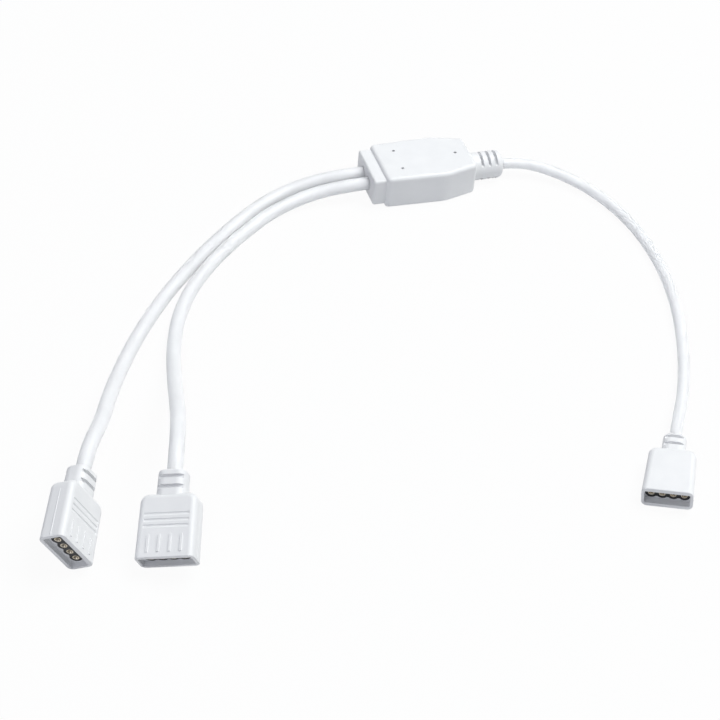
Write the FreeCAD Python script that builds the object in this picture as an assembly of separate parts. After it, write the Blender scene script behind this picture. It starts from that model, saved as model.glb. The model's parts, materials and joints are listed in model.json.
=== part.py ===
"""RGB splitter cable: a moulded hub joins one input lead to two branch leads with four-way sockets.

Units are mm and +Z is up. The hub stands on z = 0 with its length along X, and its collar for the two
branch leads faces -X. A connector is drawn with its mouth at y = 0, its axis along +Y and its thickness
along Z, and is then laid on the floor.
"""
import FreeCAD
import Part

import math
import os
from collections import namedtuple

V = FreeCAD.Vector

# Hub moulding
HUB_BODY_LENGTH = 27.1
HUB_END_WIDTH = 17.3
HUB_MAX_WIDTH = 18.4
HUB_NOSE_WIDTH = 13.4
HUB_BEND_AT = 17.6
HUB_BEND_R = 9.0
HUB_HEIGHT = 9.8
HUB_CORNER_R = 1.4
HUB_EDGE_R = 1.1
COLLAR_LENGTH = 3.4
COLLAR_STEP = 0.9
COLLAR_EDGE_R = 0.7
COLLAR_RIM_R = 0.6
RELIEF_DIA = 7.9
RELIEF_FLOOR_GAP = 0.15
RELIEF_LENGTH = 9.6
RELIEF_END_R = 1.4
RELIEF_WEB = 3.8
RELIEF_SLOT_DEPTH = 1.3
RELIEF_SLOT_WIDTH = 0.85
RELIEF_FIRST_SLOT = 3.2
RELIEF_SLOT_PITCH = 2.1
RELIEF_SLOT_ROWS = 3
ROOT_LENGTH = 2.0
PIN_HOLE_DIA = 0.9
PIN_HOLES = [(5.7, 4.2), (5.7, -4.2), (22.6, 0.0)]

# Leads and their bared cores
BRANCH_LEAD_DIA = 3.6
INPUT_LEAD_DIA = 3.0
BRANCH_SPACING = 5.0
LEAD_IN_HUB = 5.0
LEAD_IN_CONNECTOR = 5.0
CORE_DIA = 0.5
CORE_PITCH = 0.62

# Junction board in the hub, with bus strips whose tabs hang down to the cores
BOARD_WIDTH = 12.0
BOARD_THICKNESS = 1.2
BOARD_COLLAR_GAP = 1.0
BOARD_NOSE_GAP = 2.0
STRIP_FIRST = 6.8
STRIP_PITCH = 3.1
STRIP_WIDTH = 1.4
STRIP_THICKNESS = 0.35
STRIP_CORE_GAP = 0.3
TAB_WIDTH = 0.56
TAB_THICKNESS = 0.5
TAB_OVERHANG = 0.1
CIRCUITS = ["power", "green", "red", "blue"]

# Connector mouldings
BRANCH_SHELL_WIDTH = 13.6
BRANCH_SHELL_THICKNESS = 6.4
BRANCH_SHELL_LENGTH = 15.2
BRANCH_SHELL_DRAFT = 0.2
BRANCH_NECK_WIDTH = 6.9
BRANCH_NECK_THICKNESS = 5.8
BRANCH_NECK_LENGTH = 5.8
BRANCH_NECK_WEB = 4.0
BRANCH_MOUTH_DEPTH = 1.25
INPUT_SHELL_WIDTH = 12.0
INPUT_SHELL_THICKNESS = 5.6
INPUT_SHELL_LENGTH = 15.2
INPUT_SHELL_DRAFT = 0.4
INPUT_NECK_WIDTH = 5.8
INPUT_NECK_THICKNESS = 5.1
INPUT_NECK_LENGTH = 5.4
INPUT_NECK_WEB = 3.4
INPUT_MOUTH_DEPTH = 1.95
FACE_DRAFT = 0.1
SHELL_EDGE_R = 1.4
SHELL_RIM_R = 0.25
SHELL_SHOULDER_R = 2.2
NECK_DRAFT = 0.1
NECK_CORNER_R = 2.1
NECK_END_R = 0.7
NECK_SLOT_WIDTH = 0.9
NECK_SLOTS = [1.6, 4.0]
MOUTH_SIDE_WALL = 0.7
MOUTH_FACE_WALL = 1.0
MOUTH_CORNER_R = 0.4
SEAM_WIDTH = 0.3
SEAM_RISE = 0.08
SEAM_END_GAP = 0.6
GRIP_FIRST = 5.1
GRIP_PITCH = 1.4
GRIP_COUNT = 3
GRIP_R = 0.5
GRIP_DEPTH = 0.18
GRIP_SIDE_GAP = 1.6
BAR_MOUTH_GAP = 1.3
BAR_LENGTH = 4.0
BAR_WIDTH = 0.5
BAR_RISE = 0.2
BAR_ROOT = 0.4

# Socket block and contacts
WAYS = 4
PITCH = 2.54
SCALLOP_DIA = 2.8
WEB_HEIGHT = 1.9
BLOCK_LENGTH = 3.5
BLOCK_PROUD = 0.25
CONTACT_DIA = 1.5
CONTACT_BORE = 0.8
CONTACT_BORE_DEPTH = 2.9
CONTACT_FUNNEL = 0.35
CONTACT_TAIL_DIA = 0.7
CONTACT_TAIL_LENGTH = 1.2

# How the leads lie: x, y and the gap under the lead between its two ends, and x, y, yaw, pitch and roll of
# each connector's mouth
BRANCH_A_LAY = [
    (-36.0, 2.9, 1.6), (-46.6, 0.0, 0.4), (-56.2, -6.3, 0.0), (-65.2, -14.1, 0.0), (-73.8, -22.5, 0.0),
    (-82.6, -32.2, 0.0), (-90.4, -42.2, 0.0), (-97.5, -52.9, 0.0), (-103.4, -64.5, 1.5),
    (-107.5, -75.1, 4.9), (-110.9, -85.7, 9.0),
]
BRANCH_B_LAY = [
    (-36.4, -2.2, 1.5), (-48.0, -5.9, 0.3), (-58.3, -13.3, 0.0), (-68.4, -22.4, 0.0), (-77.2, -32.7, 0.0),
    (-83.5, -44.0, 0.0), (-87.5, -56.5, 0.6), (-90.1, -69.1, 3.2), (-92.2, -80.3, 7.8),
    (-94.2, -91.2, 11.5),
]
INPUT_LAY = [
    (34.0, -4.6, 1.6), (42.0, -12.8, 0.4), (46.8, -24.0, 0.0), (48.8, -36.9, 0.0), (48.4, -51.1, 0.0),
    (45.9, -64.6, 0.0), (42.0, -77.2, 0.0), (37.1, -89.2, 0.1), (31.4, -100.3, 0.8),
]
BRANCH_A_POSE = (-125.5, -120.0, -20.7, 11.0, 63.0)
BRANCH_B_POSE = (-104.52, -125.36, -17.6, 22.0, -15.7)
INPUT_POSE = (12.05, -132.7, -29.9, 0.0, -8.0)
BRANCH_EXIT_RUN = 5.5
INPUT_EXIT_RUN = 5.0
TAIL_RUN = 5.8
ARC_SHARE = 0.45

# Places that follow from the sizes
HUB_LENGTH = COLLAR_LENGTH + HUB_BODY_LENGTH + RELIEF_LENGTH
COLLAR_X = -HUB_LENGTH / 2
BODY_X = COLLAR_X + COLLAR_LENGTH
NOSE_X = BODY_X + HUB_BODY_LENGTH
RELIEF_X = HUB_LENGTH / 2
AXIS_Z = HUB_HEIGHT / 2
RELIEF_AXIS_Z = RELIEF_FLOOR_GAP + RELIEF_DIA / 2
BRANCH_JACKET_X = COLLAR_X + LEAD_IN_HUB
INPUT_JACKET_X = RELIEF_X - LEAD_IN_HUB
BOARD_X0 = BRANCH_JACKET_X + BOARD_COLLAR_GAP
BOARD_X1 = NOSE_X - BOARD_NOSE_GAP
STRIP_LOW_Z = max(AXIS_Z, RELIEF_AXIS_Z) + CORE_DIA / 2 + STRIP_CORE_GAP
BOARD_LOW_Z = STRIP_LOW_Z + STRIP_THICKNESS
BOARD_TOP_Z = BOARD_LOW_Z + BOARD_THICKNESS
CORE_OFFSETS = [(i - (WAYS - 1) / 2) * CORE_PITCH for i in range(WAYS)]
CONTACT_OFFSETS = [(i - (WAYS - 1) / 2) * PITCH for i in range(WAYS)]
CUT_MARGIN = 1.0
TINY = 1e-4

ShellSize = namedtuple(
    "ShellSize",
    "width thickness length draft neck_width neck_thickness neck_length neck_web mouth_depth lead_dia")
BRANCH_SHELL = ShellSize(
    BRANCH_SHELL_WIDTH, BRANCH_SHELL_THICKNESS, BRANCH_SHELL_LENGTH, BRANCH_SHELL_DRAFT, BRANCH_NECK_WIDTH,
    BRANCH_NECK_THICKNESS, BRANCH_NECK_LENGTH, BRANCH_NECK_WEB, BRANCH_MOUTH_DEPTH, BRANCH_LEAD_DIA)
INPUT_SHELL = ShellSize(
    INPUT_SHELL_WIDTH, INPUT_SHELL_THICKNESS, INPUT_SHELL_LENGTH, INPUT_SHELL_DRAFT, INPUT_NECK_WIDTH,
    INPUT_NECK_THICKNESS, INPUT_NECK_LENGTH, INPUT_NECK_WEB, INPUT_MOUTH_DEPTH, INPUT_LEAD_DIA)


def box(x0, x1, y0, y1, z0, z1):
    return Part.makeBox(x1 - x0, y1 - y0, z1 - z0, V(x0, y0, z0))


def rod(dia, start, end):
    return Part.makeCylinder(dia / 2, (end - start).Length, start, end - start)


def edges_where(shape, test):
    return [e for e in shape.Edges if all(test(v.Point) for v in e.Vertexes)]


def one_solid(shape):
    """The shape as a single solid, with the seams of a union removed."""
    clean = shape.removeSplitter()
    assert len(clean.Solids) == 1, "expected one solid, found %d" % len(clean.Solids)
    return clean.Solids[0]


def frustum(size0, y0, size1, y1):
    """A block along Y that tapers from one width and thickness to another."""
    rings = []
    for (width, thickness), y in ((size0, y0), (size1, y1)):
        w = width / 2
        t = thickness / 2
        rings.append([V(w, y, t), V(-w, y, t), V(-w, y, -t), V(w, y, -t)])
    near, far = rings
    outlines = [near, far]
    for i in range(4):
        j = (i + 1) % 4
        outlines.append([near[i], near[j], far[j], far[i]])
    faces = [Part.Face(Part.makePolygon(outline + outline[:1])) for outline in outlines]
    solid = Part.makeSolid(Part.makeShell(faces))
    if solid.Volume < 0:
        solid.reverse()
    return solid


def rounded_frustum(size0, y0, size1, y1, radius):
    """A tapered block along Y with its four long edges rounded."""
    solid = frustum(size0, y0, size1, y1)
    long_edges = [e for e in solid.Edges if abs(e.Vertexes[0].Y - e.Vertexes[1].Y) > TINY]
    return solid.makeFillet(radius, long_edges)


def tube(points, dia, name):
    """A round tube along straight runs that are joined by tangent arcs."""
    edges = []
    turns = []
    at = points[0]
    for before, point, after in zip(points, points[1:], points[2:]):
        a = (point - before).normalize()
        b = (after - point).normalize()
        turn = a.getAngle(b)
        setback = ARC_SHARE * min((point - before).Length, (after - point).Length)
        radius = setback / math.tan(turn / 2)
        middle = point + (b - a).normalize() * (radius / math.cos(turn / 2) - radius)
        edges.append(Part.makeLine(at, point - a * setback))
        at = point + b * setback
        edges.append(Part.Arc(point - a * setback, middle, at).toShape())
        turns.append("%.0f deg %.0f mm" % (math.degrees(turn), radius))
    edges.append(Part.makeLine(at, points[-1]))
    path = Part.Wire(edges)
    ring = Part.Wire(Part.makeCircle(dia / 2, points[0], points[1] - points[0]))
    solid = path.makePipeShell([ring], True, False)
    ratio = solid.Volume / (math.pi * dia * dia / 4 * path.Length)
    print(name, "length %.1f" % path.Length, "volume over section x length %.4f" % ratio)
    print("  runs", ["%.1f" % (q - p).Length for p, q in zip(points, points[1:])])
    print("  turns and radii", turns)
    print("  points", [[round(c, 2) for c in p] for p in points])
    return solid


def upright_edges(shape, x):
    """The edges at x that run along Z."""
    at_x = edges_where(shape, lambda p: abs(p.x - x) < TINY)
    return [e for e in at_x if abs(e.Vertexes[0].Z - e.Vertexes[1].Z) > TINY]


def hub_body_blank():
    """The body, nearly straight from the collar to a soft bend and tapered from there to the nose."""
    bend_x = BODY_X + HUB_BEND_AT
    near = [
        V(BODY_X, -HUB_END_WIDTH / 2, 0), V(bend_x, -HUB_MAX_WIDTH / 2, 0), V(NOSE_X, -HUB_NOSE_WIDTH / 2, 0)]
    far = [V(p.x, -p.y, 0) for p in reversed(near)]
    outline = Part.makePolygon(near + far + near[:1])
    body = Part.Face(outline).extrude(V(0, 0, HUB_HEIGHT))
    body = body.makeFillet(HUB_BEND_R, upright_edges(body, bend_x))
    body = body.makeFillet(HUB_CORNER_R, upright_edges(body, BODY_X) + upright_edges(body, NOSE_X))
    rims = edges_where(body, lambda p: abs(p.z - HUB_HEIGHT) < TINY)
    rims += edges_where(body, lambda p: abs(p.z) < TINY)
    return body.makeFillet(HUB_EDGE_R, rims)


def collar_blank():
    half = HUB_END_WIDTH / 2 - COLLAR_STEP
    collar = box(COLLAR_X, BODY_X + ROOT_LENGTH, -half, half, COLLAR_STEP, HUB_HEIGHT - COLLAR_STEP)
    long_edges = [e for e in collar.Edges if abs(e.Vertexes[0].X - e.Vertexes[1].X) > TINY]
    collar = collar.makeFillet(COLLAR_EDGE_R, long_edges)
    return collar.makeFillet(COLLAR_RIM_R, edges_where(collar, lambda p: abs(p.x - COLLAR_X) < TINY))


def relief_blank():
    """The round strain relief, with slots over its top and under it that leave a web at each side."""
    relief = rod(RELIEF_DIA, V(NOSE_X - ROOT_LENGTH, 0, RELIEF_AXIS_Z), V(RELIEF_X, 0, RELIEF_AXIS_Z))
    end = [e for e in edges_where(relief, lambda p: abs(p.x - RELIEF_X) < TINY) if e.Closed]
    relief = relief.makeFillet(RELIEF_END_R, end)
    web = RELIEF_WEB / 2
    slots = []
    for row in range(RELIEF_SLOT_ROWS):
        x0 = NOSE_X + RELIEF_FIRST_SLOT + row * RELIEF_SLOT_PITCH - RELIEF_SLOT_WIDTH / 2
        x1 = x0 + RELIEF_SLOT_WIDTH
        start = V(x0, 0, RELIEF_AXIS_Z)
        end = V(x1, 0, RELIEF_AXIS_Z)
        sides = box(x0, x1, -RELIEF_DIA, RELIEF_DIA, RELIEF_AXIS_Z - web, RELIEF_AXIS_Z + web)
        left = [rod(RELIEF_DIA - 2 * RELIEF_SLOT_DEPTH, start, end), sides]
        slots += rod(RELIEF_DIA + CUT_MARGIN, start, end).cut(left).Solids
    return relief.cut(slots)


def pin_holes():
    """Holes in the hub's top that end on the board."""
    return [rod(PIN_HOLE_DIA, V(BODY_X + x, y, BOARD_TOP_Z), V(BODY_X + x, y, HUB_HEIGHT + CUT_MARGIN))
            for x, y in PIN_HOLES]


def hub_inside():
    """The board, its bus strips and the bared cores that end on the strips' tabs."""
    pieces = {}
    half = BOARD_WIDTH / 2
    pieces["junction_board"] = box(BOARD_X0, BOARD_X1, -half, half, BOARD_LOW_Z, BOARD_TOP_Z)
    leads = [
        ("branch_a", V(BRANCH_JACKET_X, BRANCH_SPACING / 2, AXIS_Z), 1),
        ("branch_b", V(BRANCH_JACKET_X, -BRANCH_SPACING / 2, AXIS_Z), 1),
        ("input", V(INPUT_JACKET_X, 0, RELIEF_AXIS_Z), -1),
    ]
    reach = BRANCH_SPACING / 2 + CORE_OFFSETS[-1] + TAB_WIDTH
    for i, circuit in enumerate(CIRCUITS):
        x = BOARD_X0 + STRIP_FIRST + i * STRIP_PITCH
        strip = box(x - STRIP_WIDTH / 2, x + STRIP_WIDTH / 2, -reach, reach, STRIP_LOW_Z, BOARD_LOW_Z)
        tabs = []
        for lead, jacket, side in leads:
            y = jacket.y + CORE_OFFSETS[i]
            t = TAB_THICKNESS / 2
            w = TAB_WIDTH / 2
            low = jacket.z - CORE_DIA / 2 - TAB_OVERHANG
            tabs.append(box(x - t, x + t, y - w, y + w, low, BOARD_LOW_Z))
            core = rod(CORE_DIA, V(jacket.x, y, jacket.z), V(x - side * t, y, jacket.z))
            pieces["hub_core_%s_%s" % (lead, circuit)] = core
        pieces["bus_strip_" + circuit] = one_solid(strip.fuse(tabs))
    return pieces


def socket_block(front):
    """A strip of four joined rounds, which shows as a scalloped outline in the mouth."""
    back = front + BLOCK_LENGTH
    rounds = [rod(SCALLOP_DIA, V(x, front, 0), V(x, back, 0)) for x in CONTACT_OFFSETS]
    web = box(CONTACT_OFFSETS[0], CONTACT_OFFSETS[-1], front, back, -WEB_HEIGHT / 2, WEB_HEIGHT / 2)
    return one_solid(web.fuse(rounds))


def contact_blank(x, front):
    """A contact before its bore: a round body with a thinner tail."""
    back = V(x, front + BLOCK_LENGTH, 0)
    body = rod(CONTACT_DIA, V(x, front, 0), back)
    return one_solid(body.fuse(rod(CONTACT_TAIL_DIA, back, back + V(0, CONTACT_TAIL_LENGTH, 0))))


def contact_bore(x, front):
    """A blind hole for a pin, with a funnel at its mouth."""
    start = V(x, front, 0)
    bore = rod(CONTACT_BORE, start, V(x, front + CONTACT_BORE_DEPTH, 0))
    lip_r = (CONTACT_BORE + CONTACT_DIA) / 4
    return bore.fuse(Part.makeCone(lip_r, CONTACT_BORE / 2, CONTACT_FUNNEL, start, V(0, 1, 0)))


class Connector:
    """One moulded socket: its pieces are made in their own frame and then laid on the floor."""

    def __init__(self, name, size, pose, marked):
        self.name = name
        self.size = size
        self.marked = marked
        self.neck_y = size.length + size.neck_length
        self.jacket_y = self.neck_y - LEAD_IN_CONNECTOR
        self.front_y = size.mouth_depth - BLOCK_PROUD
        self.tail_y = self.front_y + BLOCK_LENGTH + CONTACT_TAIL_LENGTH
        x, y, yaw, pitch, roll = pose
        turn = FreeCAD.Rotation(V(0, 0, 1), yaw) * FreeCAD.Rotation(V(1, 0, 0), pitch)
        turn = turn * FreeCAD.Rotation(V(0, 1, 0), roll)
        turned = self.blank().copy()
        turned.Placement = FreeCAD.Placement(V(0, 0, 0), turn)
        lowest = turned.optimalBoundingBox(False, False).ZMin
        self.placement = FreeCAD.Placement(V(x, y, -lowest), turn)

    def body_blank(self, shoulder):
        """The tapered body: its shoulders are rounded first, and then the rims of its two wide faces."""
        s = self.size
        body = frustum((s.width, s.thickness), 0, shoulder, s.length)
        shoulders = upright_edges(body, shoulder[0] / 2) + upright_edges(body, -shoulder[0] / 2)
        body = body.makeFillet(SHELL_SHOULDER_R, shoulders)
        rims = []
        for side in (1, -1):
            wide = edges_where(body, lambda p: p.z * side > 0)
            rims += [e for e in wide if max(v.Y for v in e.Vertexes) > TINY]
        body = body.makeFillet(SHELL_EDGE_R, rims)
        return body.makeFillet(SHELL_RIM_R, edges_where(body, lambda p: abs(p.y) < TINY))

    def blank(self):
        """The outside of the shell, before its mouth and slots."""
        s = self.size
        shoulder = (s.width - 2 * s.draft, s.thickness - 2 * FACE_DRAFT)
        seam_end = s.length - SHELL_SHOULDER_R - SEAM_END_GAP
        seam = rounded_frustum(
            (s.width + 2 * SEAM_RISE, SEAM_WIDTH), SEAM_END_GAP,
            (shoulder[0] + 2 * SEAM_RISE, SEAM_WIDTH), seam_end, SEAM_RISE)
        root = (s.neck_width, s.neck_thickness)
        tip = (s.neck_width - 2 * NECK_DRAFT, s.neck_thickness - 2 * NECK_DRAFT)
        neck = rounded_frustum(root, s.length - ROOT_LENGTH, tip, self.neck_y, NECK_CORNER_R)
        neck = neck.makeFillet(NECK_END_R, edges_where(neck, lambda p: abs(p.y - self.neck_y) < TINY))
        return self.body_blank(shoulder).fuse([seam, neck])

    def face_z(self, y):
        """Height of the marked face above the middle plane at y."""
        return self.size.thickness / 2 - FACE_DRAFT * y / self.size.length

    def mouth(self):
        opening = (self.size.width - 2 * MOUTH_SIDE_WALL, self.size.thickness - 2 * MOUTH_FACE_WALL)
        return rounded_frustum(opening, -CUT_MARGIN, opening, self.size.mouth_depth, MOUTH_CORNER_R)

    def neck_slots(self):
        """Slots across the neck from both faces, which leave a flat web."""
        s = self.size
        slots = []
        for middle in NECK_SLOTS:
            y = s.length + middle - NECK_SLOT_WIDTH / 2
            for low in (s.neck_web / 2, -s.neck_web / 2 - s.neck_thickness):
                high = low + s.neck_thickness
                slots.append(box(-s.neck_width, s.neck_width, y, y + NECK_SLOT_WIDTH, low, high))
        return slots

    def grip_grooves(self):
        """Shallow round grooves across the marked face."""
        grooves = []
        half = self.size.width / 2 - GRIP_SIDE_GAP
        for i in range(GRIP_COUNT):
            y = self.size.length - GRIP_FIRST - i * GRIP_PITCH
            z = self.face_z(y) - GRIP_DEPTH + GRIP_R
            grooves.append(rod(2 * GRIP_R, V(-half, y, z), V(half, y, z)))
        return grooves

    def way_bars(self):
        """One raised bar over each contact."""
        low = self.face_z(BAR_MOUTH_GAP) - BAR_ROOT
        high = self.face_z(BAR_MOUTH_GAP) + BAR_RISE
        half = BAR_WIDTH / 2
        end = BAR_MOUTH_GAP + BAR_LENGTH
        return [box(x - half, x + half, BAR_MOUTH_GAP, end, low, high) for x in CONTACT_OFFSETS]

    def core(self, x_lead, x_contact):
        """A bared core, flush with the jacket's end and with the contact's tail."""
        ring = Part.Wire(Part.makeCircle(CORE_DIA / 2, V(x_lead, self.jacket_y, 0), V(0, 1, 0)))
        return Part.Face(ring).extrude(V(x_contact - x_lead, self.tail_y - self.jacket_y, 0))

    def shell(self, inside):
        cuts = [self.mouth()] + self.neck_slots()
        if self.marked:
            cuts += self.grip_grooves()
        shell = one_solid(self.blank()).cut(cuts)
        if self.marked:
            shell = shell.fuse(self.way_bars())
        return one_solid(shell.cut(inside))

    def tail_points(self):
        """The lead's last two points: beyond the neck, and in to where its jacket ends."""
        return [self.placement.multVec(V(0, y, 0)) for y in (self.neck_y + TAIL_RUN, self.jacket_y)]

    def pieces(self):
        """Every piece laid on the floor, apart from the lead."""
        made = {}
        blanks = [contact_blank(x, self.front_y) for x in CONTACT_OFFSETS]
        cores = [self.core(x_lead, x) for x_lead, x in zip(CORE_OFFSETS, CONTACT_OFFSETS)]
        for i, x in enumerate(CONTACT_OFFSETS):
            contact = blanks[i].cut(contact_bore(x, self.front_y))
            made["contact_%s_%d" % (self.name, i + 1)] = one_solid(contact)
            made["core_%s_%d" % (self.name, i + 1)] = cores[i]
        block = socket_block(self.front_y)
        made["socket_block_" + self.name] = one_solid(block.cut(blanks))
        jacket = rod(self.size.lead_dia, V(0, self.jacket_y, 0), V(0, self.neck_y + CUT_MARGIN, 0))
        made["shell_" + self.name] = self.shell([block, jacket] + blanks + cores)
        for shape in made.values():
            shape.Placement = self.placement
        middle = self.front_y + (CONTACT_FUNNEL + CONTACT_BORE_DEPTH) / 2
        out = self.placement.Rotation.multVec(V(0, -1, 0))
        for x in CONTACT_OFFSETS:
            at = self.placement.multVec(V(x, middle, 0))
            print("bore", self.name, [round(c, 4) for c in at], [round(c, 6) for c in out])
        return made


def lead_points(jacket_x, exit_point, run, lay, connector):
    """From the jacket's end in the hub, along the floor and up to the connector's neck."""
    start = V(jacket_x, exit_point.y, exit_point.z)
    first = exit_point + (exit_point - start).normalize() * run
    floor = [V(x, y, connector.size.lead_dia / 2 + gap) for x, y, gap in lay]
    return [start, first] + floor + connector.tail_points()


def main():
    branch_a = Connector("branch_a", BRANCH_SHELL, BRANCH_A_POSE, True)
    branch_b = Connector("branch_b", BRANCH_SHELL, BRANCH_B_POSE, True)
    feed = Connector("input", INPUT_SHELL, INPUT_POSE, False)
    exit_a = V(COLLAR_X, BRANCH_SPACING / 2, AXIS_Z)
    exit_b = V(COLLAR_X, -BRANCH_SPACING / 2, AXIS_Z)
    exit_in = V(RELIEF_X, 0, RELIEF_AXIS_Z)
    leads = [
        ("branch_lead_a", branch_a, BRANCH_JACKET_X, exit_a, BRANCH_EXIT_RUN, BRANCH_A_LAY),
        ("branch_lead_b", branch_b, BRANCH_JACKET_X, exit_b, BRANCH_EXIT_RUN, BRANCH_B_LAY),
        ("input_lead", feed, INPUT_JACKET_X, exit_in, INPUT_EXIT_RUN, INPUT_LAY),
    ]
    pieces = hub_inside()
    cuts = list(pieces.values()) + pin_holes()
    for name, connector, jacket_x, exit_point, run, lay in leads:
        points = lead_points(jacket_x, exit_point, run, lay, connector)
        pieces[name] = tube(points, connector.size.lead_dia, name)
        cuts.append(rod(connector.size.lead_dia, points[0], points[1]))
        pieces.update(connector.pieces())
    hub = hub_body_blank().fuse([collar_blank(), relief_blank()])
    pieces["hub_body"] = one_solid(one_solid(hub).cut(cuts))

    os.makedirs("parts", exist_ok=True)
    for name, shape in pieces.items():
        assert shape.isValid(), name
        shape.exportStep("parts/%s.step" % name)
        low = shape.optimalBoundingBox(False, False).ZMin
        print("%-26s solids %d volume %9.3f zmin %.3f" % (name, len(shape.Solids), shape.Volume, low))


main()
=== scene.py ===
"""Dresses the splitter cable: smooth leads, plastic and metal finishes, a pale floor and soft light."""
import json
import math
from collections import namedtuple

import bpy
from mathutils import Matrix, Vector


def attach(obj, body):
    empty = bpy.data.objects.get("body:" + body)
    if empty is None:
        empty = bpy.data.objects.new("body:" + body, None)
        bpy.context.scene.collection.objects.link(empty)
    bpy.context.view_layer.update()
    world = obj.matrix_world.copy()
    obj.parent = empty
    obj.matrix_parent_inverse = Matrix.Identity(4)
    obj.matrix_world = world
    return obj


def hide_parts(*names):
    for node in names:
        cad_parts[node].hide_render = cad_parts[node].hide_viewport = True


MM = 0.001
UP = Vector((0, 0, 1))
WHITE = (1, 1, 1, 1)
WHITE_STRENGTH = 1.0

# Camera, as the photograph was taken: left of the hub's front and rolled a little, angles in degrees
IMAGE_SIZE = 720
FOCAL_PX = 1804.0
SENSOR_MM = 36.0
CAMERA_AZIMUTH = -21.0
CAMERA_ELEVATION = 41.64
CAMERA_ROLL = 5.63
CAMERA_DISTANCE = 452.0 * MM
CAMERA_CLIP_START = 10.0 * MM
CAMERA_TARGET = Vector((-42.15, -67.2, 0.0)) * MM

# Routes of the leads, from the jacket's end in the hub to its end in the connector, in mm
BRANCH_A_ROUTE = [
    (-15.05, 2.5, 4.9), (-25.55, 2.5, 4.9), (-36.0, 2.9, 3.4), (-46.6, 0.0, 2.2), (-56.2, -6.3, 1.8),
    (-65.2, -14.1, 1.8), (-73.8, -22.5, 1.8), (-82.6, -32.2, 1.8), (-90.4, -42.2, 1.8), (-97.5, -52.9, 1.8),
    (-103.4, -64.5, 3.3), (-107.5, -75.1, 6.7), (-110.9, -85.7, 10.8), (-116.2, -95.39, 11.97),
    (-119.95, -105.31, 9.91),
]
BRANCH_B_ROUTE = [
    (-15.05, -2.5, 4.9), (-25.55, -2.5, 4.9), (-36.4, -2.2, 3.3), (-48.0, -5.9, 2.1), (-58.3, -13.3, 1.8),
    (-68.4, -22.4, 1.8), (-77.2, -32.7, 1.8), (-83.5, -44.0, 1.8), (-87.5, -56.5, 2.4), (-90.1, -69.1, 5.0),
    (-92.2, -80.3, 9.6), (-94.2, -91.2, 13.3), (-97.01, -101.67, 14.22), (-100.03, -111.22, 10.18),
]
INPUT_ROUTE = [
    (15.05, 0.0, 4.1), (25.05, 0.0, 4.1), (34.0, -4.6, 3.1), (42.0, -12.8, 1.9), (46.8, -24.0, 1.5),
    (48.8, -36.9, 1.5), (48.4, -51.1, 1.5), (45.9, -64.6, 1.5), (42.0, -77.2, 1.5), (37.1, -89.2, 1.6),
    (31.4, -100.3, 2.3), (25.21, -109.81, 3.42), (19.83, -119.18, 3.42),
]

# Leads: the branches leave the hub at its collar, the input leaves it at its strain relief
BRANCH_DIA = 3.6 * MM
INPUT_DIA = 3.0 * MM
BRANCH_A_LENGTH = 164 * MM
BRANCH_B_LENGTH = 158 * MM
INPUT_LENGTH = 145 * MM
HUB_HALF_LENGTH = 20.05 * MM
COLLAR_END = -HUB_HALF_LENGTH
RELIEF_END = HUB_HALF_LENGTH
LEAD_BEVEL_RESOLUTION = 8
LEAD_SPLINE_RESOLUTION = 10
Lead = namedtuple("Lead", "name node connector route diameter length hub_end")
LEADS = [
    Lead(
        "lead_branch_a", "branch_lead_a", "branch_a", BRANCH_A_ROUTE, BRANCH_DIA, BRANCH_A_LENGTH, COLLAR_END
    ),
    Lead(
        "lead_branch_b", "branch_lead_b", "branch_b", BRANCH_B_ROUTE, BRANCH_DIA, BRANCH_B_LENGTH, COLLAR_END
    ),
    Lead("lead_input", "input_lead", "input", INPUT_ROUTE, INPUT_DIA, INPUT_LENGTH, RELIEF_END),
]

# Surface noise of the finishes: the scale counts per metre, the detail is the number of finer layers
Noise = namedtuple("Noise", "scale detail")
PLASTIC_MOTTLE = Noise(160, 3)
PLASTIC_SHEEN = Noise(320, 4)
METAL_TINT = Noise(900, 3)
METAL_POLISH = Noise(2500, 3)
GRAIN_DETAIL = 2
GRAIN_STRENGTH = 0.25
BLEND_START = 0.35
BLEND_END = 0.65
PLASTIC_SPECULAR = 0.45
JACKET_LIGHT_DEPTH = 4.5 * MM

# Floor, which the camera sees as white but for a small share of its own shading and shadow
FLOOR_HALF_SIZE = 3.0
FLOOR_COLOUR = (0.7, 0.705, 0.715)
FLOOR_ROUGHNESS = 0.8
FLOOR_SPECULAR = 0.1
FLOOR_WHITE_SHARE = 0.95

# Light: lamps aimed at the camera's target, with angles in degrees and lengths in metres
AMBIENT_COLOUR = (0.86, 0.9, 1.0)
AMBIENT_STRENGTH = 0.22
Lamp = namedtuple("Lamp", "name azimuth elevation distance size watts colour")
LAMPS = [
    Lamp("key", azimuth=93, elevation=64, distance=1.2, size=0.9, watts=14.3, colour=(0.985, 1.0, 0.985)),
    Lamp("fill", azimuth=-60, elevation=42, distance=1.5, size=1.2, watts=4.6, colour=(0.91, 0.92, 1.0)),
]


def add_object(name, data):
    """A new object in the scene."""
    obj = bpy.data.objects.new(name, data)
    bpy.context.scene.collection.objects.link(obj)
    return obj


def new_material(name):
    """A new material with its nodes and links."""
    material = bpy.data.materials.new(name)
    material.use_nodes = True
    return material, material.node_tree.nodes, material.node_tree.links


def noise(nodes, links, scale, detail):
    """Noise over the object's own coordinates, which are in metres."""
    coordinates = nodes.new("ShaderNodeTexCoord")
    texture = nodes.new("ShaderNodeTexNoise")
    texture.inputs["Scale"].default_value = scale
    texture.inputs["Detail"].default_value = detail
    links.new(coordinates.outputs["Object"], texture.inputs["Vector"])
    return texture.outputs["Fac"]


def ramp(nodes, links, source, low, high):
    """Two colours or greys blended by a noise value around its middle."""
    blend = nodes.new("ShaderNodeValToRGB")
    start, end = blend.color_ramp.elements
    start.position = BLEND_START
    end.position = BLEND_END
    start.color = (*low, 1)
    end.color = (*high, 1)
    links.new(source, blend.inputs["Fac"])
    return blend.outputs["Color"]


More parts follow.
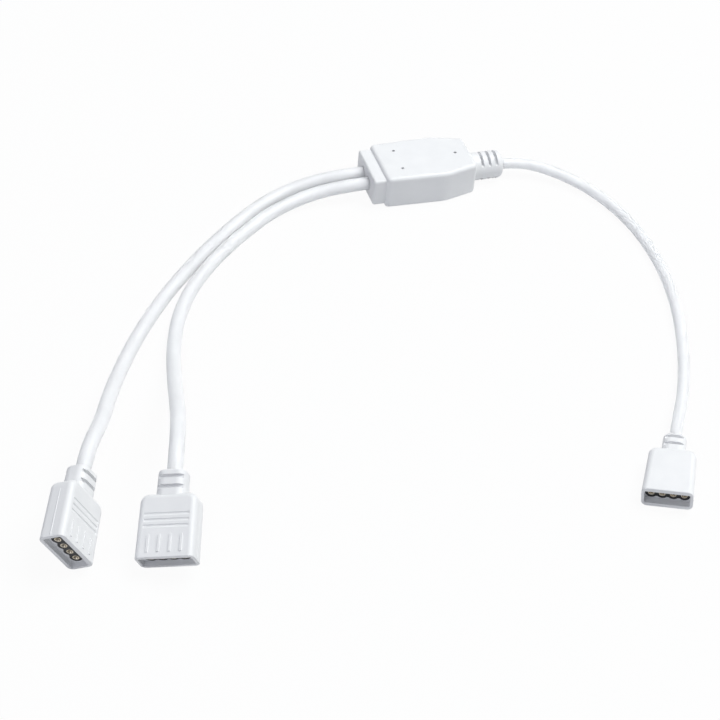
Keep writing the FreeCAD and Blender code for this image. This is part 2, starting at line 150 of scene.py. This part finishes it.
def vary(nodes, links, colour_noise, colours, roughness_noise, roughness):
    """Lets the shader's colour and roughness wander between two values each."""
    shader = nodes["Principled BSDF"]
    colour = ramp(nodes, links, noise(nodes, links, *colour_noise), *colours)
    links.new(colour, shader.inputs["Base Color"])
    greys = [(value,) * 3 for value in roughness]
    rough = ramp(nodes, links, noise(nodes, links, *roughness_noise), *greys)
    links.new(rough, shader.inputs["Roughness"])


def bump(nodes, links, source, distance, strength):
    """A surface relief from a noise value."""
    node = nodes.new("ShaderNodeBump")
    node.inputs["Strength"].default_value = strength
    node.inputs["Distance"].default_value = distance
    links.new(source, node.inputs["Height"])
    return node.outputs["Normal"]


def plastic(name, colours, roughness, grain_scale, grain_depth):
    """A moulded plastic with a faint mottle, an uneven sheen and a fine surface grain."""
    material, nodes, links = new_material(name)
    shader = nodes["Principled BSDF"]
    shader.inputs["Specular IOR Level"].default_value = PLASTIC_SPECULAR
    vary(nodes, links, PLASTIC_MOTTLE, colours, PLASTIC_SHEEN, roughness)
    grain = noise(nodes, links, grain_scale, GRAIN_DETAIL)
    links.new(bump(nodes, links, grain, grain_depth, GRAIN_STRENGTH), shader.inputs["Normal"])
    return material


def metal(name, colours, roughness):
    """A plated or bare metal with slightly uneven colour and polish."""
    material, nodes, links = new_material(name)
    nodes["Principled BSDF"].inputs["Metallic"].default_value = 1.0
    vary(nodes, links, METAL_TINT, colours, METAL_POLISH, roughness)
    return material


def moulded_white():
    """Satin white of the hub and the connector shells."""
    return plastic(
        "moulded_white", colours=((0.84, 0.845, 0.855), (0.87, 0.873, 0.88)), roughness=(0.38, 0.5),
        grain_scale=2600, grain_depth=0.02 * MM,
    )


def jacket_white():
    """Soft cable jacket, which lets some light through."""
    material = plastic(
        "jacket_white", colours=((0.825, 0.828, 0.836), (0.855, 0.858, 0.865)), roughness=(0.36, 0.46),
        grain_scale=1500, grain_depth=0.02 * MM,
    )
    shader = material.node_tree.nodes["Principled BSDF"]
    shader.subsurface_method = "BURLEY"
    shader.inputs["Subsurface Weight"].default_value = 1.0
    shader.inputs["Subsurface Radius"].default_value = (1.0, 1.0, 1.0)
    shader.inputs["Subsurface Scale"].default_value = JACKET_LIGHT_DEPTH
    return material


def block_black():
    """Black plastic of the socket blocks."""
    return plastic(
        "block_black", colours=((0.008, 0.008, 0.009), (0.014, 0.014, 0.016)), roughness=(0.4, 0.55),
        grain_scale=3000, grain_depth=0.02 * MM,
    )


def board_laminate():
    """Green laminate of the junction board."""
    return plastic(
        "board_laminate", colours=((0.03, 0.16, 0.07), (0.04, 0.2, 0.09)), roughness=(0.3, 0.4),
        grain_scale=1800, grain_depth=0.01 * MM,
    )


def contact_plated():
    """Pale plating of the contacts."""
    return metal("contact_plated", colours=((0.52, 0.46, 0.36), (0.68, 0.62, 0.52)), roughness=(0.18, 0.32))


def core_copper():
    """Bare copper of the cores."""
    return metal("core_copper", colours=((0.78, 0.42, 0.25), (0.86, 0.5, 0.32)), roughness=(0.3, 0.45))


def strip_tinned():
    """Tin of the bus strips on the board."""
    return metal("strip_tinned", colours=((0.7, 0.69, 0.66), (0.8, 0.79, 0.77)), roughness=(0.3, 0.45))


def make_materials():
    """The finish of each material slot in the record."""
    return {
        "moulding": moulded_white(),
        "jacket": jacket_white(),
        "socket_block": block_black(),
        "board": board_laminate(),
        "contact": contact_plated(),
        "core": core_copper(),
        "bus_strip": strip_tinned(),
    }


def dress(node, material):
    """Gives a node one material."""
    node.data.materials.clear()
    node.data.materials.append(material)


def make_lead(name, route, diameter, material):
    """A round lead along its route."""
    curve = bpy.data.curves.new(name, "CURVE")
    curve.dimensions = "3D"
    curve.bevel_depth = diameter / 2
    curve.bevel_resolution = LEAD_BEVEL_RESOLUTION
    curve.use_fill_caps = True
    spline = curve.splines.new("NURBS")
    spline.points.add(len(route) - 1)
    for point, place in zip(spline.points, route):
        point.co = (*(Vector(place) * MM), 1)
    spline.order_u = 3
    spline.use_endpoint_u = True
    spline.resolution_u = LEAD_SPLINE_RESOLUTION
    curve.materials.append(material)
    return add_object(name, curve)


def aim(obj, azimuth, elevation, distance, roll=0.0):
    """Places a camera or a lamp so that its -Z looks at the camera's target, with angles in degrees."""
    azimuth, elevation, roll = (math.radians(angle) for angle in (azimuth, elevation, roll))
    flat = math.cos(elevation)
    back = Vector((flat * math.sin(azimuth), -flat * math.cos(azimuth), math.sin(elevation)))
    right = UP.cross(back).normalized()
    up = back.cross(right)
    rolled_right = math.cos(roll) * right + math.sin(roll) * up
    rolled_up = -math.sin(roll) * right + math.cos(roll) * up
    turn = Matrix((rolled_right, rolled_up, back)).transposed()
    obj.matrix_world = Matrix.Translation(CAMERA_TARGET + back * distance) @ turn.to_4x4()


def make_camera():
    """The camera of the photograph."""
    data = bpy.data.cameras.new("camera")
    data.sensor_width = SENSOR_MM
    data.lens = FOCAL_PX / IMAGE_SIZE * SENSOR_MM
    data.clip_start = CAMERA_CLIP_START
    camera = add_object("camera", data)
    aim(camera, CAMERA_AZIMUTH, CAMERA_ELEVATION, CAMERA_DISTANCE, CAMERA_ROLL)
    bpy.context.scene.camera = camera


def seen_share(nodes, links):
    """1 for what the camera sees directly or in a reflection, else 0."""
    path = nodes.new("ShaderNodeLightPath")
    total = path.outputs["Is Camera Ray"]
    for name in ("Is Glossy Ray", "Is Transmission Ray"):
        larger = nodes.new("ShaderNodeMath")
        larger.operation = "MAXIMUM"
        links.new(total, larger.inputs[0])
        links.new(path.outputs[name], larger.inputs[1])
        total = larger.outputs["Value"]
    return total


def mix_in(nodes, links, share, below, above, surface):
    """Sends a blend of two shaders, the second by its share, to a surface."""
    mix = nodes.new("ShaderNodeMixShader")
    links.new(share, mix.inputs["Fac"])
    links.new(below, mix.inputs[1])
    links.new(above, mix.inputs[2])
    links.new(mix.outputs["Shader"], surface)


def floor_white():
    """A pale floor that shows white with a faint shadow."""
    material, nodes, links = new_material("floor_white")
    shader = nodes["Principled BSDF"]
    shader.inputs["Base Color"].default_value = (*FLOOR_COLOUR, 1)
    shader.inputs["Roughness"].default_value = FLOOR_ROUGHNESS
    shader.inputs["Specular IOR Level"].default_value = FLOOR_SPECULAR
    white = nodes.new("ShaderNodeEmission")
    white.inputs["Color"].default_value = WHITE
    white.inputs["Strength"].default_value = WHITE_STRENGTH
    share = nodes.new("ShaderNodeMath")
    share.operation = "MULTIPLY"
    share.inputs[1].default_value = FLOOR_WHITE_SHARE
    links.new(seen_share(nodes, links), share.inputs[0])
    surface = nodes["Material Output"].inputs["Surface"]
    mix_in(nodes, links, share.outputs["Value"], shader.outputs["BSDF"], white.outputs["Emission"], surface)
    return material


def make_floor():
    """The floor that the cable lies on."""
    half = FLOOR_HALF_SIZE
    mesh = bpy.data.meshes.new("floor")
    corners = [(-half, -half, 0), (half, -half, 0), (half, half, 0), (-half, half, 0)]
    mesh.from_pydata(corners, [], [(0, 1, 2, 3)])
    mesh.materials.append(floor_white())
    add_object("floor", mesh)


def make_world():
    """Dim light from all round, which the camera sees as white."""
    world = bpy.data.worlds.new("studio")
    world.use_nodes = True
    bpy.context.scene.world = world
    nodes = world.node_tree.nodes
    links = world.node_tree.links
    ambient = nodes["Background"]
    ambient.inputs["Color"].default_value = (*AMBIENT_COLOUR, 1)
    ambient.inputs["Strength"].default_value = AMBIENT_STRENGTH
    white = nodes.new("ShaderNodeBackground")
    white.inputs["Color"].default_value = WHITE
    white.inputs["Strength"].default_value = WHITE_STRENGTH
    seen = nodes.new("ShaderNodeLightPath").outputs["Is Camera Ray"]
    surface = nodes["World Output"].inputs["Surface"]
    mix_in(nodes, links, seen, ambient.outputs["Background"], white.outputs["Background"], surface)


def make_lamp(lamp):
    """A round soft lamp."""
    data = bpy.data.lights.new(lamp.name, "AREA")
    data.shape = "DISK"
    data.size = lamp.size
    data.energy = lamp.watts
    data.color = lamp.colour
    aim(add_object(lamp.name, data), lamp.azimuth, lamp.elevation, lamp.distance)


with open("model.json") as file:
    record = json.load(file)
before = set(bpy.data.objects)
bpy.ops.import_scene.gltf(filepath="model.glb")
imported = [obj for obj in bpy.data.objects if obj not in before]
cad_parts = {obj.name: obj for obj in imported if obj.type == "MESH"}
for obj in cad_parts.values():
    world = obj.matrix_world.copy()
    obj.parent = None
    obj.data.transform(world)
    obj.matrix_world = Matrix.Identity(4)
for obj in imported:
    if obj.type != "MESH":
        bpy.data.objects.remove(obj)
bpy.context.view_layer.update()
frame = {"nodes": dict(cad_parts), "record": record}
cad_nodes = frame["nodes"]
finishes = make_materials()
for part in frame["record"]["subparts"]:
    dress(cad_nodes[part["node"]], finishes[part["material_slot"]])

make_camera()
for name, node, connector, route, diameter, length, hub_end in LEADS:
    lead = make_lead(name, route, diameter, finishes["jacket"])
    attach(lead, "root")
    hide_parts(node)

make_floor()
make_world()
for lamp in LAMPS:
    make_lamp(lamp)

scene = bpy.context.scene
scene.view_settings.view_transform = "Standard"
